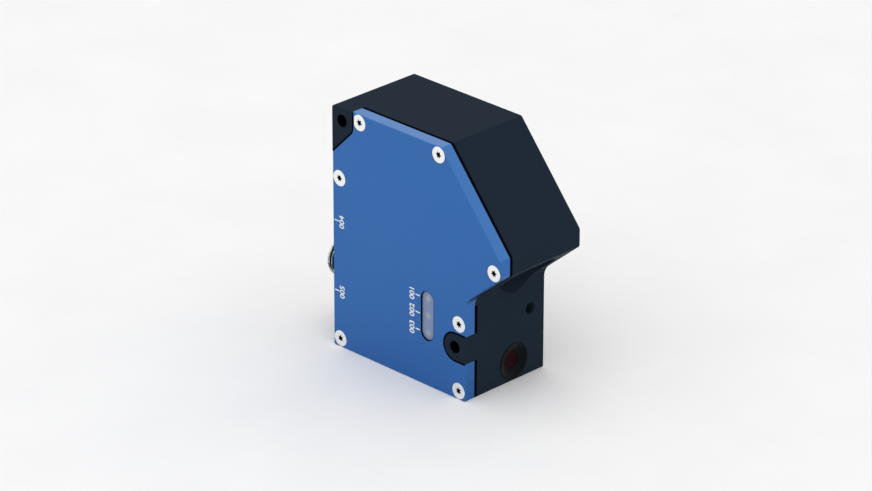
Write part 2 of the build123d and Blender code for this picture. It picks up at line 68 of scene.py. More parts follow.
# Screws: hexalobular recess in a countersunk head
HEAD_RADIUS = 2.32
HEAD_SUNK = 0.08
HEAD_LAND = 0.1
HEAD_HEIGHT = 0.9
HEAD_ROUNDING = 0.07
NECK_RADIUS = 1.5
SHANK_RADIUS = 1.25
SHANK_TAPER = 0.25
SCREW_LENGTH = 8.0
SCREW_PITCH = 0.45
SCREW_THREAD_DEPTH = 0.24
SCREW_THREAD_FROM = 0.3
SCREW_THREAD_END = 0.4
SCREW_ROW = 0.06
SCREW_FIRST_TURN = 0.35
SCREW_NEXT_TURN = 0.9
STAR_LOBES = 6
STAR_OUTER = 0.98
STAR_INNER = 0.6
STAR_DEPTH = 1.1
STAR_POINT = 0.25
STAR_FLOOR_ROUNDING = 0.12
STAR_EDGE = 0.04
STAR_FADE = 0.2

# Cover and housing: the black seal in their joints, drawn wide so that it is partly painted shade, and
# their eased edges
JOINT_WIDTH = 0.95
NOTCH_JOINT_WIDTH = 0.55
NOTCH_JOINT_OVERLAP = 0.1
JOINT_PROUD = 0.012
JOINT_THICKNESS = 0.05
HOUSING_EDGE = 0.12
COVER_EDGE = 0.05

# Round plugs with a metric thread of 12 mm
THREAD_RADIUS = 6.0
THREAD_PITCH = 1.0
THREAD_DEPTH = 0.55
SOCKET_THREAD_RADIUS = 5.5
COLLAR_RADIUS = 7.5
COLLAR_LENGTH = 2.6
COLLAR_FOOT_ROUNDING = 0.2
COLLAR_ROUNDING = 0.35
RELIEF_DEPTH = 0.6
RELIEF_LENGTH = 0.6
THREAD_FROM = 0.9
THREAD_FADE = 0.8
THREAD_END = 0.5
SHELL_BORE = 4.35
SHELL_EDGE = 0.12
SHELL_COUNTERSINK = 0.4
SOCKET_THREAD_LENGTH = 4.6
SOCKET_THREAD_DEPTH = 0.5
SOCKET_COLLAR_ROUNDING = 0.5
NECK_OUTER = 5.6
SEAL_THICKNESS = 0.6
PIN_RADIUS = 0.4
PIN_CIRCLE = 2.75
RING_PIN_COUNT = 7
CONTACT_RADIUS = 0.5
CONTACT_BORE = 0.33
CONTACT_CIRCLE = 2.4
CONTACT_COUNT = 4
CONTACT_SETBACK = 0.06
CONTACT_EDGE = 0.06
CONTACT_BORE_DEPTH = 4.0

# Optics
VIEW_ANGLE = math.radians(50)
EMITTER_MOUTH = 4.95
EMITTER_BORE = 3.15
EMITTER_LIP_BORE = 2.55
EMITTER_MOUTH_DEPTH = 1.0
RING_WIDTH = 1.25
RING_HALF = 0.5

# Status window, and the black lining of its slot, which paints the shade on the slot's walls
WINDOW_RIM = 0.3
WINDOW_SHADE_FIT = 0.04
WINDOW_SHADE_WIDTH = 0.14
WINDOW_SHADE_SUNK = 0.03

# Mounting holes through the width: their places along x and z
MOUNTING_HOLES = ((-21.1, 66.95), (21.1, 15.0))
MOUNTING_BORE = 1.7

# Painted shade and glow: where each colour turns, measured from the shape that it follows
BORE_SHADE = (0.12, 0.04)
RECESS_SHADE = (0.08, 0.4)
ROOT_SHADE = (0.16, 0.3)
LAMP_GLOW = (0.5, 1.15)

# Sockets of a colour Mix node, whose names its other kinds of value share
MIX_FROM, MIX_TO, MIX_RESULT = 6, 7, 2

# Tapped hole in the front face
TAP_RADIUS = 1.65
TAP_DEPTH = 8.0
TAP_PITCH = 0.7
TAP_RIDGE = 0.16
TAP_LEAD_IN = 0.35
TAP_PROUD = 0.005
TAP_Y = 9.7
TAP_HEIGHT = 19.2

# Printed marks on the cover
INK_PROUD = 0.012
INK_FILM = 0.02
TICK_LENGTH = 1.6
TICK_WIDTH = 0.36
TICK_FROM_LAMP = 3.6
TICK_FROM_BACK = 1.4
DIGIT_GAP = 0.35
DIGIT_HEIGHT = 1.8
DIGIT_BOLD = 0.05
FONT_DIGIT_SHARE = 0.71

# Camera: angles in degrees and the rest in millimetres, along the camera's own axes
CAMERA_AZIMUTH = 44.827
CAMERA_ELEVATION = 24.949
CAMERA_ROLL = 0.109
CAMERA_DISTANCE = 1201.66
CAMERA_LENS = 186.22
CAMERA_TARGET = (0.15, 0.0, 37.0)
CAMERA_RIGHT = -0.725
CAMERA_UP = -3.939
SENSOR_WIDTH = 36

# Light: the dome's strength on matte surfaces, and the softbox, whose places are in metres
DOME = 0.96
KEY_PLACE = (0.1, -0.5, 1.0)
KEY_AIM = (0, 0, 0.03)
KEY_SIZE = 0.6
KEY_WATTS = 1.1

# Floor
FLOOR_HALF = 3000.0
FLOOR_PATCH = 40.0


def linear(hex_code):
    """An sRGB hex colour as linear red, green, blue and alpha."""
    parts = [int(hex_code[i : i + 2], 16) / 255 for i in (1, 3, 5)]
    return [c / 12.92 if c <= 0.04045 else ((c + 0.055) / 1.055) ** 2.4 for c in parts] + [1.0]


def add_node(tree, kind, settings=None, links=None):
    """A node with values set on its attributes or its own sockets, and with its inputs linked.

    A socket goes by its name, or by its number where several share one name.
    """
    node = tree.nodes.new(kind)
    for name, value in (settings or {}).items():
        if isinstance(name, int) or name in node.inputs:
            node.inputs[name].default_value = value
        else:
            setattr(node, name, value)
    for name, source in (links or {}).items():
        tree.links.new(source, node.inputs[name])
    return node


def new_material(name, **surface_values):
    """A material with one Principled shader: its tree, the shader and the Object coordinates."""
    material = bpy.data.materials.new(name)
    material.use_nodes = True
    tree = material.node_tree
    tree.nodes.clear()
    shader = add_node(tree, "ShaderNodeBsdfPrincipled", surface_values)
    add_node(tree, "ShaderNodeOutputMaterial", links={"Surface": shader.outputs["BSDF"]})
    place = add_node(tree, "ShaderNodeTexCoord").outputs["Object"]
    return material, tree, shader, place


def mottled(tree, place, grain_mm, dark, light):
    """Two colours mixed by a soft noise whose lumps have the grain's size in millimetres."""
    noise = add_node(
        tree,
        "ShaderNodeTexNoise",
        {"Scale": 1 / (grain_mm * MM), "Detail": 3.0, "Roughness": 0.55},
        {"Vector": place},
    )
    ramp = add_node(tree, "ShaderNodeValToRGB", links={"Fac": noise.outputs["Fac"]})
    ramp.color_ramp.elements[0].position = 0.3
    ramp.color_ramp.elements[0].color = linear(dark)
    ramp.color_ramp.elements[1].position = 0.7
    ramp.color_ramp.elements[1].color = linear(light)
    return ramp.outputs["Color"]


def bumped(tree, shader, place, grain_mm, height_mm, strength):
    """A noise bump on the shader, with its grain and its height in millimetres."""
    noise = add_node(
        tree,
        "ShaderNodeTexNoise",
        {"Scale": 1 / (grain_mm * MM), "Detail": 2.0},
        {"Vector": place},
    )
    bump = add_node(
        tree,
        "ShaderNodeBump",
        {"Strength": strength, "Distance": height_mm * MM},
        {"Height": noise.outputs["Fac"]},
    )
    tree.links.new(bump.outputs["Normal"], shader.inputs["Normal"])


def uneven_gloss(tree, shader, place, patch_mm, low, high):
    """Roughness that drifts between two values over patches of that size."""
    noise = add_node(
        tree,
        "ShaderNodeTexNoise",
        {"Scale": 1 / (patch_mm * MM), "Detail": 2.0},
        {"Vector": place},
    )
    spread = add_node(
        tree,
        "ShaderNodeMapRange",
        {"To Min": low, "To Max": high},
        {"Value": noise.outputs["Fac"]},
    )
    tree.links.new(spread.outputs["Result"], shader.inputs["Roughness"])


def from_axis(tree, place, point, across):
    """How far a place is from the line through a point, in metres.

    It is the length of (place - point) * across, where across is 1 in the two directions square
    to the line and 0 along it.
    """
    offset = add_node(
        tree, "ShaderNodeVectorMath", {"operation": "SUBTRACT", 1: point}, {0: place}
    )
    flat = add_node(
        tree,
        "ShaderNodeVectorMath",
        {"operation": "MULTIPLY", 1: across},
        {0: offset.outputs["Vector"]},
    )
    away = add_node(
        tree, "ShaderNodeVectorMath", {"operation": "LENGTH"}, {0: flat.outputs["Vector"]}
    )
    return away.outputs["Value"]


def turned_towards(tree, axis, low, high):
    """How far a surface's normal turns towards an axis: 0 at the low value and 1 at the high."""
    normal = add_node(tree, "ShaderNodeTexCoord").outputs["Normal"]
    parts = add_node(tree, "ShaderNodeSeparateXYZ", links={"Vector": normal})
    share = add_node(
        tree,
        "ShaderNodeMapRange",
        {"From Min": low, "From Max": high},
        {"Value": parts.outputs[axis]},
    )
    return share.outputs["Result"]


def black_anodised():
    """Bead-blasted aluminium with a black dyed oxide: dull satin, with a cold blue cast.

    The mounting holes are painted near black inside, a painted shade for the shadow deep in
    them: they are found by the distance from each hole's axis.
    """
    material, tree, shader, place = new_material(
        "black_anodised_aluminium", **{"Specular IOR Level": 0.008}
    )
    colour = mottled(tree, place, 0.25, "#1d2733", "#212c38")
    # Painted shade: the mounting holes' walls and a hair round their mouths turn near black.
    start, full = [(MOUNTING_BORE + margin) * MM for margin in BORE_SHADE]
    for x, z in MOUNTING_HOLES:
        bore_shade = add_node(
            tree,
            "ShaderNodeMapRange",
            {"From Min": start, "From Max": full},
            {"Value": from_axis(tree, place, (x * MM, 0, z * MM), (1, 0, 1))},
        )
        mix = add_node(
            tree,
            "ShaderNodeMix",
            {"data_type": "RGBA", MIX_TO: linear("#030507")},
            {"Factor": bore_shade.outputs["Result"], MIX_FROM: colour},
        )
        colour = mix.outputs[MIX_RESULT]
    tree.links.new(colour, shader.inputs["Base Color"])
    uneven_gloss(tree, shader, place, 6.0, 0.42, 0.5)
    # The blasted grain is about 0.05 mm and is drawn at 0.2 mm so that it shows.
    bumped(tree, shader, place, 0.2, 0.01, 0.25)
    return material


def blue_anodised():
    """Bead-blasted aluminium with a clear blue dyed oxide: the metal below mirrors the bench
    softly, and the faces that turn upwards are painted paler, a painted highlight from above."""
    material, tree, shader, place = new_material("blue_anodised_aluminium", Metallic=0.9)
    dyed = mottled(tree, place, 0.25, "#3468ab", "#376db1")
    # Painted highlight: faces that turn upwards are mixed towards a paler blue.
    painted_top_light = add_node(
        tree,
        "ShaderNodeMix",
        {"data_type": "RGBA", MIX_TO: linear("#4f80be")},
        {"Factor": turned_towards(tree, "Z", 0.3, 1.0), MIX_FROM: dyed},
    )
    tree.links.new(painted_top_light.outputs[MIX_RESULT], shader.inputs["Base Color"])
    uneven_gloss(tree, shader, place, 6.0, 0.3, 0.36)
    bumped(tree, shader, place, 0.2, 0.01, 0.2)
    return material


def bright_steel():
    """Polished stainless steel: near white, with soft patches in its gloss."""
    material, tree, shader, place = new_material("polished_stainless_steel", Metallic=1.0)
    tree.links.new(mottled(tree, place, 0.4, "#eceded", "#f6f6f6"), shader.inputs["Base Color"])
    uneven_gloss(tree, shader, place, 1.0, 0.2, 0.3)
    return material


def screw_steel():
    """The same steel, painted near black inside the star recess: a painted shade for its shadow."""
    material, tree, shader, place = new_material("stainless_screw_steel", Metallic=1.0)
    bright = mottled(tree, place, 0.4, "#f0f1f1", "#fafafa")
    axes = add_node(tree, "ShaderNodeSeparateXYZ", links={"Vector": place})
    head_top = corners_of("cover_plate")[0][1] + HEAD_SUNK
    # Painted shade: the recess turns near black with depth below the head's top.
    start, full = [(head_top + depth) * MM for depth in RECESS_SHADE]
    recess_shade = add_node(
        tree,
        "ShaderNodeMapRange",
        {"From Min": start, "From Max": full},
        {"Value": axes.outputs["Y"]},
    )
    mix = add_node(
        tree,
        "ShaderNodeMix",
        {"data_type": "RGBA", MIX_TO: linear("#0c0d0e")},
        {"Factor": recess_shade.outputs["Result"], MIX_FROM: bright},
    )
    tree.links.new(mix.outputs[MIX_RESULT], shader.inputs["Base Color"])
    uneven_gloss(tree, shader, place, 1.0, 0.2, 0.3)
    return material


def nickel_plate():
    """Bright nickel plate on turned brass: warm white metal with a sharp gloss."""
    material, tree, shader, place = new_material("nickel_plated_brass", Metallic=1.0)
    tree.links.new(mottled(tree, place, 0.8, "#cac6be", "#d2cec7"), shader.inputs["Base Color"])
    uneven_gloss(tree, shader, place, 2.0, 0.16, 0.26)
    return material


def nickel_thread():
    """Nickel plate on plug A's cut thread: bright crests, and roots painted dark as painted shade in
    the grooves.

    The root is found by the distance from the plug's axis, and the end face is left bright.
    """
    material, tree, shader, place = new_material("nickel_plated_thread", Metallic=1.0)
    bright = mottled(tree, place, 0.8, "#d8d8d6", "#e6e6e4")
    axis_point = plug_start("plug_a_seal") * MM
    start, full = [(THREAD_RADIUS - depth) * MM for depth in ROOT_SHADE]
    root = add_node(
        tree,
        "ShaderNodeMapRange",
        {"From Min": start, "From Max": full},
        {"Value": from_axis(tree, place, axis_point, (0, 1, 1))},
    )
    axes = add_node(tree, "ShaderNodeSeparateXYZ", links={"Vector": place})
    last_turn = corners_of("plug_a_shell")[0][0] + THREAD_END
    behind_face = add_node(
        tree,
        "ShaderNodeMapRange",
        {"From Min": last_turn * MM, "From Max": (last_turn + THREAD_PITCH / 10) * MM},
        {"Value": axes.outputs["X"]},
    )
    # Painted shade: the thread darkens towards its roots, except on the end face.
    painted_root_shade = add_node(
        tree,
        "ShaderNodeMath",
        {"operation": "MULTIPLY"},
        {0: root.outputs["Result"], 1: behind_face.outputs["Result"]},
    )
    mix = add_node(
        tree,
        "ShaderNodeMix",
        {"data_type": "RGBA", MIX_TO: linear("#101214")},
        {"Factor": painted_root_shade.outputs["Value"], MIX_FROM: bright},
    )
    tree.links.new(mix.outputs[MIX_RESULT], shader.inputs["Base Color"])
    uneven_gloss(tree, shader, place, 2.0, 0.14, 0.22)
    return material


def frosted_window():
    """Matte translucent polycarbonate: blue grey, with a painted highlight round its rim and a painted
    glow, greener, over each lamp.

    The distance from the nearest lamp's middle is the length of (x, fold(z)), where fold is a
    ping-pong with half the lamps' pitch, and the painted glow fades out over that distance.
    """
    material, tree, shader, place = new_material("frosted_polycarbonate", Roughness=0.5, IOR=1.58)
    middle = centre_of("status_led_2")
    pitch = (centre_of("status_led_1") - middle)[2]
    centred = add_node(
        tree, "ShaderNodeVectorMath", {"operation": "SUBTRACT", 1: middle * MM}, {0: place}
    )
    axes = add_node(tree, "ShaderNodeSeparateXYZ", links={"Vector": centred.outputs["Vector"]})
    folded = add_node(
        tree,
        "ShaderNodeMath",
        {"operation": "PINGPONG", 1: pitch / 2 * MM},
        {0: axes.outputs["Z"]},
    )
    flat = add_node(
        tree,
        "ShaderNodeCombineXYZ",
        links={"X": axes.outputs["X"], "Y": folded.outputs["Value"]},
    )
    away = add_node(
        tree, "ShaderNodeVectorMath", {"operation": "LENGTH"}, {0: flat.outputs["Vector"]}
    )
    # Painted glow: full over a lamp's middle and gone at the spot's edge.
    full, end = [distance * MM for distance in LAMP_GLOW]
    lamp = add_node(
        tree,
        "ShaderNodeMapRange",
        {"From Min": full, "From Max": end, "To Min": 1.0, "To Max": 0.0},
        {"Value": away.outputs["Value"]},
    )
    # Painted highlight: the rounded rim, turned away from the face, is mixed paler.
    painted_rim_light = add_node(
        tree,
        "ShaderNodeMix",
        {"data_type": "RGBA", MIX_TO: linear("#b4c0d8")},
        {
            "Factor": turned_towards(tree, "Y", -0.95, -0.6),
            MIX_FROM: mottled(tree, place, 0.3, "#6f7ea2", "#7786a9"),
        },
    )
    # Painted glow: greener and paler over each lamp.
    painted_lamp_glow = add_node(
        tree,
        "ShaderNodeMix",
        {"data_type": "RGBA", MIX_TO: linear("#8d9c9e")},
        {"Factor": lamp.outputs["Result"], MIX_FROM: painted_rim_light.outputs[MIX_RESULT]},
    )
    tree.links.new(painted_lamp_glow.outputs[MIX_RESULT], shader.inputs["Base Color"])
    bumped(tree, shader, place, 0.15, 0.01, 0.3)
    return material


def optics_black():
    """Glossy black anodised turned aluminium, as inside a lens mount."""
    material, tree, shader, place = new_material(
        "gloss_black_anodised", **{"Specular IOR Level": 0.06}
    )
    tree.links.new(mottled(tree, place, 0.5, "#06080c", "#0a0d12"), shader.inputs["Base Color"])
    uneven_gloss(tree, shader, place, 2.0, 0.14, 0.22)
    return material


def red_filter():
    """Dark red filter glass with an anti-reflection coating: nearly black, with a red depth."""
    material, tree, shader, place = new_material(
        "red_filter_glass", Roughness=0.05, **{"Specular IOR Level": 0.02}
    )
    colour = mottled(tree, place, 3.0, "#1e070e", "#290a13")
    tree.links.new(colour, shader.inputs["Base Color"])
    return material


def lens_glass():
    """Clear optical glass with a thin coating."""
    material, tree, shader, place = new_material(
        "coated_lens_glass", IOR=1.52, Roughness=0.03, **{"Transmission Weight": 0.9}
    )
    tree.links.new(mottled(tree, place, 4.0, "#dfe9ee", "#e8f1f4"), shader.inputs["Base Color"])
    return material


def seal_rubber():
    """Black nitrile rubber: dull, with a fine moulded grain."""
    material, tree, shader, place = new_material(
        "black_nitrile_rubber", Roughness=0.7, **{"Specular IOR Level": 0.0}
    )
    tree.links.new(mottled(tree, place, 0.3, "#04060a", "#080a0f"), shader.inputs["Base Color"])
    bumped(tree, shader, place, 0.2, 0.01, 0.3)
    return material


def moulded_plastic(name, dark, light, rough):
    """A moulded engineering plastic with a fine spark-eroded grain."""
    material, tree, shader, place = new_material(name, Roughness=rough)
    tree.links.new(mottled(tree, place, 0.3, dark, light), shader.inputs["Base Color"])
    bumped(tree, shader, place, 0.15, 0.008, 0.25)
    return material


def plain_metal(name, dark, light, low, high):
    """A bare or plated metal with a slightly uneven gloss."""
    material, tree, shader, place = new_material(name, Metallic=1.0)
    tree.links.new(mottled(tree, place, 0.6, dark, light), shader.inputs["Base Color"])
    uneven_gloss(tree, shader, place, 1.0, low, high)
    return material


def solder_mask():
    """Green solder mask over woven glass and epoxy: glossy, with the weave just showing."""
    material, tree, shader, place = new_material("green_solder_mask", Roughness=0.3)
    weave = add_node(
        tree,
        "ShaderNodeTexWave",
        {"Scale": 1 / (0.5 * MM), "Distortion": 0.5, "bands_direction": "DIAGONAL"},
        {"Vector": place},
    )
    ramp = add_node(tree, "ShaderNodeValToRGB", links={"Fac": weave.outputs["Fac"]})
    ramp.color_ramp.elements[0].color = linear("#0c4a26")
    ramp.color_ramp.elements[1].color = linear("#12592f")
    tree.links.new(ramp.outputs["Color"], shader.inputs["Base Color"])
    return material


def white_ink():
    """Screen-printed white ink: matte and slightly uneven."""
    material, tree, shader, place = new_material("white_screen_ink", Roughness=0.6)
    tree.links.new(mottled(tree, place, 0.2, "#dfe3ea", "#f0f3f7"), shader.inputs["Base Color"])
    return material


def surface(name, points, around=True, along=False):
    """A mesh through a grid of points in millimetres, each point joined to the next both ways.

    The grid closes on itself around its columns, along its rows, or both. Points that fall
    together, as at a pole, are merged, and the faces are turned outwards.
    """
    rows, columns = points.shape[:2]
    index = np.arange(rows * columns).reshape(rows, columns)
    if around:
        index = np.concatenate([index, index[:, :1]], axis=1)
    if along:
        index = np.concatenate([index, index[:1]], axis=0)
    corners = [index[:-1, :-1], index[:-1, 1:], index[1:, 1:], index[1:, :-1]]
    quads = np.stack(corners, axis=-1).reshape(-1, 4)
    mesh = bpy.data.meshes.new(name)
    mesh.from_pydata((points.reshape(-1, 3) * MM).tolist(), [], quads.tolist())
    cleaned = bmesh.new()
    cleaned.from_mesh(mesh)
    bmesh.ops.remove_doubles(cleaned, verts=cleaned.verts, dist=MERGE * MM)
    bmesh.ops.recalc_face_normals(cleaned, faces=cleaned.faces)
    cleaned.to_mesh(mesh)
    cleaned.free()
    return mesh


def add_piece(name, meshes, material, replaced=(), smooth_angle=35):
    """Meshes joined into one piece of the sensor, with its material and what it stands for."""
    joined = bmesh.new()
    for mesh in meshes:
        joined.from_mesh(mesh)
    mesh = bpy.data.meshes.new(name)
    joined.to_mesh(mesh)
    joined.free()
    mesh.polygons.foreach_set("use_smooth", np.ones(len(mesh.polygons), bool))
    mesh.set_sharp_from_angle(angle=math.radians(smooth_angle))
    piece = bpy.data.objects.new(name, mesh)
    bpy.context.scene.collection.objects.link(piece)
    piece.data.materials.append(material)
    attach(piece, ROOT)
    if replaced:
        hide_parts(*replaced)
    return piece


def rounded(corners, closed=False, steps=5):
    """A profile with its corners rounded: each corner is (radius, along) and its own rounding.

    At a corner the two sides are cut back by rounding / tan(half the angle between them), and an
    arc about a point on their bisector joins the cuts.
    """
    points = np.array([corner[:2] for corner in corners], float)
    out = []
    count = len(points)
    for i, corner in enumerate(corners):
        rounding = corner[2] if len(corner) > 2 else 0
        if rounding == 0 or (not closed and i in (0, count - 1)):
            out.append(points[i])
            continue
        before = points[i - 1] - points[i]
        after = points[(i + 1) % count] - points[i]
        before /= np.linalg.norm(before)
        after /= np.linalg.norm(after)
        half = math.acos(np.clip(before @ after, -1, 1)) / 2
        middle = before + after
        middle /= np.linalg.norm(middle)
        centre = points[i] + middle * rounding / math.sin(half)
        start = points[i] + before * rounding / math.tan(half) - centre
        end = points[i] + after * rounding / math.tan(half) - centre
        sweep = math.acos(np.clip(start @ end / rounding**2, -1, 1))
        for t in np.linspace(0, 1, steps):
            share = np.array([math.sin((1 - t) * sweep), math.sin(t * sweep)]) / math.sin(sweep)
            out.append(centre + share[0] * start + share[1] * end)
    return np.array(out)


def turned(name, profile, origin, axis, columns=96, closed=False, swell=None):
    """A turned surface: profile points (radius, along) carried round an axis.

    Point = origin + along * axis + radius * (cos t * u + sin t * v), where u and v are square to
    the axis. swell(t, radius, along), if given, returns the radius as it varies round the axis.
    """
    axis = np.array(axis, float) / np.linalg.norm(axis)
    level = np.cross([0, 0, 1], axis)
    if np.linalg.norm(level) < 1e-6:
        level = np.array([1.0, 0, 0])
    level /= np.linalg.norm(level)
    upright = np.cross(axis, level)
    t = np.linspace(0, TURN, columns, endpoint=False)[None, :]
    radius = profile[:, :1] * np.ones_like(t)
    along = profile[:, 1:2] * np.ones_like(t)
    if swell is not None:
        radius = swell(t, radius, along)
    points = np.array(origin, float) + along[..., None] * axis
    points = points + (radius * np.cos(t))[..., None] * level
    points = points + (radius * np.sin(t))[..., None] * upright
    return surface(name, points, around=True, along=closed)


def centre_of(node):
    """Middle of a CAD node's box, in millimetres."""
    low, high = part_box(node)
    return np.array((low + high) / 2) / MM


def corners_of(node):
    """Lowest and highest corner of a CAD node's box, in millimetres."""
    low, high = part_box(node)
    return np.array(low) / MM, np.array(high) / MM


def screw_places():
    """Middles of the screw heads, just below the cover's face: the CAD heads' outermost points,
    gathered head by head."""
    mesh = frame["nodes"]["cover_screws"].data
    flat = np.zeros(len(mesh.vertices) * 3)
    mesh.vertices.foreach_get("co", flat)
    points = flat.reshape(-1, 3) / MM
    rim = points[points[:, 1] < points[:, 1].min() + TOUCH]
    places = []
    while len(rim):
        near = np.linalg.norm(rim - rim[0], axis=1) < 2.1 * HEAD_RADIUS
        group = rim[near]
        place = (group.min(axis=0) + group.max(axis=0)) / 2
        place[1] = corners_of("cover_plate")[0][1] + HEAD_SUNK
        places.append(place)
        rim = rim[~near]
    return places


def thread_wave(phase):
    """A metric thread's section, 0 at the crest and 1 at the root: a clipped triangle wave."""
    saw = np.abs((phase % 1.0) - 0.5) * 2
    return np.clip((1 - saw) * FLANK - CREST, 0, 1)


def add_cover_screws(steel):
    """Seven countersunk screws.

    The recess radius varies with the angle as mean + swing * cos(lobes * t), which gives rounded
    lobes, and fades to a circle at the rim. The shank's radius falls by the thread's depth along
    a helix.
    """
    mean = (STAR_OUTER + STAR_INNER) / 2
    swing = (STAR_OUTER - STAR_INNER) / 2
    head = [
        (0, -STAR_DEPTH - STAR_POINT),
        (mean * 0.5, -STAR_DEPTH),
        (mean * 0.92, -STAR_DEPTH + 0.02),
        (mean, -STAR_DEPTH + STAR_FLOOR_ROUNDING),
        (mean, -0.05),
        (mean + STAR_EDGE, 0.0),
        (STAR_OUTER + 0.25, 0.0),
    ]
    outside = rounded(
        [
            (STAR_OUTER + 0.3, 0.0),
            (HEAD_RADIUS, 0.0, HEAD_ROUNDING),
            (HEAD_RADIUS, -HEAD_LAND),
            (NECK_RADIUS, -HEAD_HEIGHT),
            (SHANK_RADIUS, -HEAD_HEIGHT),
        ]
    )
    rows = np.arange(
        -HEAD_HEIGHT - SCREW_THREAD_FROM, -SCREW_LENGTH + SCREW_THREAD_END, -SCREW_ROW
    )
    shank = np.stack([np.full_like(rows, SHANK_RADIUS), rows], axis=1)
    tip = np.array([(SHANK_RADIUS - SHANK_TAPER, -SCREW_LENGTH), (0, -SCREW_LENGTH)])
    profile = np.vstack([head, outside, shank, tip])

    def swell(t, radius, along):
        inside = np.clip((STAR_OUTER + STAR_FADE - radius) / STAR_FADE, 0, 1)
        inside = inside * (along > -STAR_DEPTH - 0.1) * np.clip(radius / mean, 0, 1)
        lobed = radius + swing * np.cos(STAR_LOBES * t) * inside
        in_thread = (radius == SHANK_RADIUS) & (along < -HEAD_HEIGHT - 0.2)
        wave = thread_wave(along / SCREW_PITCH - t / TURN)
        return np.where(in_thread, SHANK_RADIUS - SCREW_THREAD_DEPTH * wave, lobed)

    meshes = []
    for i, place in enumerate(screw_places()):
        turn = SCREW_FIRST_TURN + SCREW_NEXT_TURN * i

        def turned_swell(t, radius, along, turn=turn):
            return swell(t + turn, radius, along)

        meshes.append(
            turned("screw", profile, place, (0, -1, 0), columns=72, swell=turned_swell)
        )
    add_piece("cover_screw_set", meshes, steel, ["cover_screws"])


def plug_start(node):
    """The point on the back wall that a plug's axis leaves from, in millimetres."""
    seal_low, seal_high = corners_of(node)
    return np.array([seal_high[0], (seal_low + seal_high)[1] / 2, (seal_low + seal_high)[2] / 2])


def add_plug_a(nickel, gold):
    """Plug A: collar, outer thread and socket, turned in one, with its round pins.

    The thread's radius is its crest's less depth * wave(along / pitch - turns round the axis).
    """
    start = plug_start("plug_a_seal")
    shell_low, shell_high = corners_of("plug_a_shell")
    tip = start[0] - shell_low[0]
    neck_end = start[0] - shell_high[0]
    collar_top = SEAL_THICKNESS + COLLAR_LENGTH
    thread_start = collar_top + THREAD_FROM
    rows = np.arange(thread_start, tip - THREAD_END - 0.05, THREAD_PITCH / 12)
    thread = np.stack([np.full_like(rows, THREAD_RADIUS), rows], axis=1)
    below = rounded(
        [
            (SHELL_BORE, neck_end),
            (NECK_OUTER, neck_end),
            (NECK_OUTER, SEAL_THICKNESS),
            (COLLAR_RADIUS, SEAL_THICKNESS, COLLAR_FOOT_ROUNDING),
            (COLLAR_RADIUS, collar_top, COLLAR_ROUNDING),
            (THREAD_RADIUS - RELIEF_DEPTH, collar_top),
            (THREAD_RADIUS - RELIEF_DEPTH, collar_top + RELIEF_LENGTH),
            (THREAD_RADIUS, collar_top + RELIEF_LENGTH + 0.2),
        ]
    )
    above = rounded(
        [
            (THREAD_RADIUS, tip - THREAD_END),
            (THREAD_RADIUS - THREAD_DEPTH, tip, SHELL_EDGE),
            (SHELL_BORE + SHELL_EDGE, tip, 0.1),
            (SHELL_BORE, tip - SHELL_COUNTERSINK),
        ]
    )
    profile = np.vstack([below, thread, above])

    def swell(t, radius, along):
        cut = np.abs(radius - THREAD_RADIUS) < TOUCH
        fade = np.clip((along - thread_start) / THREAD_FADE, 0, 1)
        wave = thread_wave(along / THREAD_PITCH - t / TURN) * fade
        return np.where(cut, THREAD_RADIUS - THREAD_DEPTH * wave, radius)

    shell = turned("shell", profile, start, (-1, 0, 0), columns=120, closed=True, swell=swell)
    add_piece("plug_a_threaded_shell", [shell], nickel, ["plug_a_shell"])

    pin_low, pin_high = corners_of("plug_a_pins")
    reach = start[0] - pin_low[0]
    tail = start[0] - pin_high[0]
    pin_profile = rounded(
        [
            (0, tail),
            (PIN_RADIUS, tail),
            (PIN_RADIUS, reach, PIN_RADIUS * 0.7),
            (0, reach),
        ]
    )
    pins = [turned("pin", pin_profile, start, (-1, 0, 0), columns=20)]
    for i in range(RING_PIN_COUNT):
        angle = TURN * i / RING_PIN_COUNT
        place = start + np.array([0, math.cos(angle), -math.sin(angle)]) * PIN_CIRCLE
        pins.append(turned("pin", pin_profile, place, (-1, 0, 0), columns=20))
    add_piece("plug_a_round_pins", pins, gold, ["plug_a_pins"])


